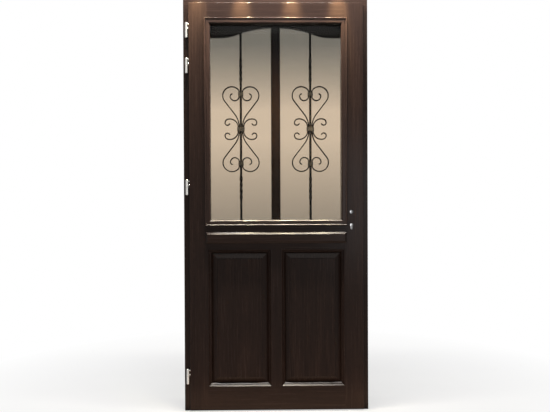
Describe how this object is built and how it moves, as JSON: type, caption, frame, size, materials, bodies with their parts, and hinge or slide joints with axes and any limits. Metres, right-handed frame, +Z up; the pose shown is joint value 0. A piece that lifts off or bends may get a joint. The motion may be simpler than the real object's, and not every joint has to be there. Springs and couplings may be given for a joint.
{
  "type": "glazed entrance door",
  "caption": "Half-glazed wooden entrance door in its frame, with an arched glass head, wrought-iron scroll grilles, raised panels, barrel hinges and a multipoint lock.",
  "frame": {"origin": "on the floor, at the middle of the frame's width and depth, on the threshold's base", "axes": "+X towards the lock side as seen from the room, +Y away from the room, +Z up"},
  "size_m": [0.98, 0.134, 2.2],
  "materials": {
    "painted_wood": "dark brown satin stain over joinery timber",
    "glass": "float glass with a light warm tint",
    "wrought_iron": "black, slightly hammered",
    "nickel": "satin nickel",
    "steel": "zinc-plated lock parts",
    "aluminium": "mill-finish extrusion",
    "spacer_metal": "dull spacer bar",
    "rubber": "black seals and gaskets",
    "sealant": "dark edge sealant",
    "nylon": "bushes and setting blocks"
  },
  "bodies": {
    "frame": {"centre_strike": "steel", "frame_gaskets": "rubber", "frame_head": "painted_wood", "frame_hinge_jamb": "painted_wood", "frame_lock_jamb": "painted_wood", "hinge_1_frame_knuckle": "nickel", "hinge_2_frame_knuckle": "nickel", "hinge_3_frame_knuckle": "nickel", "hinge_4_frame_knuckle": "nickel", "hinge_pins": "steel", "outer_strikes": "steel", "threshold": "aluminium"},
    "leaf": {"bottom_rail": "painted_wood", "bottom_seal": "rubber", "glazing_bead_bottom": "painted_wood", "glazing_bead_left": "painted_wood", "glazing_bead_right": "painted_wood", "glazing_bead_top": "painted_wood", "glazing_gaskets": "rubber", "hinge_1_leaf_knuckle": "nickel", "hinge_2_leaf_knuckle": "nickel", "hinge_3_leaf_knuckle": "nickel", "hinge_4_leaf_knuckle": "nickel", "hinge_bushes": "nylon", "hinge_stile": "painted_wood", "inner_pane": "glass", "left_grille_bar": "wrought_iron", "left_grille_collars": "wrought_iron", "left_grille_scrolls": "wrought_iron", "left_panel": "painted_wood", "left_panel_moulding": "painted_wood", "lock_case": "steel", "lock_faceplate": "steel", "lock_stile": "painted_wood", "lower_muntin": "painted_wood", "mid_rail": "painted_wood", "outer_bolt_cases": "steel", "outer_mullion": "painted_wood", "outer_pane": "glass", "pane_edge_seal": "sealant", "pane_spacer": "spacer_metal", "right_grille_bar": "wrought_iron", "right_grille_collars": "wrought_iron", "right_grille_scrolls": "wrought_iron", "right_panel": "painted_wood", "right_panel_moulding": "painted_wood", "setting_blocks": "nylon", "top_rail": "painted_wood", "waist_moulding": "painted_wood", "weather_bar": "painted_wood"},
    "follower": {"lock_follower": "steel"},
    "latch": {"latch_bolt": "steel"},
    "dead_bolts": {"dead_bolt": "steel", "outer_bolts": "steel"},
    "rods": {"lock_rods": "steel"}
  },
  "joints": [
    {"name": "door_swing", "type": "hinge", "parent": "frame", "child": "leaf", "pos_m": [-0.4715, -0.047, 0], "axis": [0, 0, -1], "range_deg": [0, 160]},
    {"name": "follower_turn", "type": "hinge", "parent": "leaf", "child": "follower", "pos_m": [0.401, -0.013, 1.058], "axis": [0, -1, 0], "range_deg": [0, 35], "stiffness_Nm_per_rad": 1.2, "springref_deg": -11.46},
    {"name": "latch_slide", "type": "slide", "parent": "leaf", "child": "latch", "axis": [-1, 0, 0], "range_m": [0, 0.0128]},
    {"name": "dead_bolt_slide", "type": "slide", "parent": "leaf", "child": "dead_bolts", "axis": [1, 0, 0], "range_m": [0, 0.02]},
    {"name": "rod_slide", "type": "slide", "parent": "leaf", "child": "rods", "axis": [0, 0, 1], "range_m": [0, 0.015]}
  ],
  "couplings": [
    {"joint": "latch_slide", "follows": "follower_turn", "m_per_rad": 0.020952},
    {"joint": "rod_slide", "follows": "dead_bolt_slide", "ratio": 0.75}
  ]
}
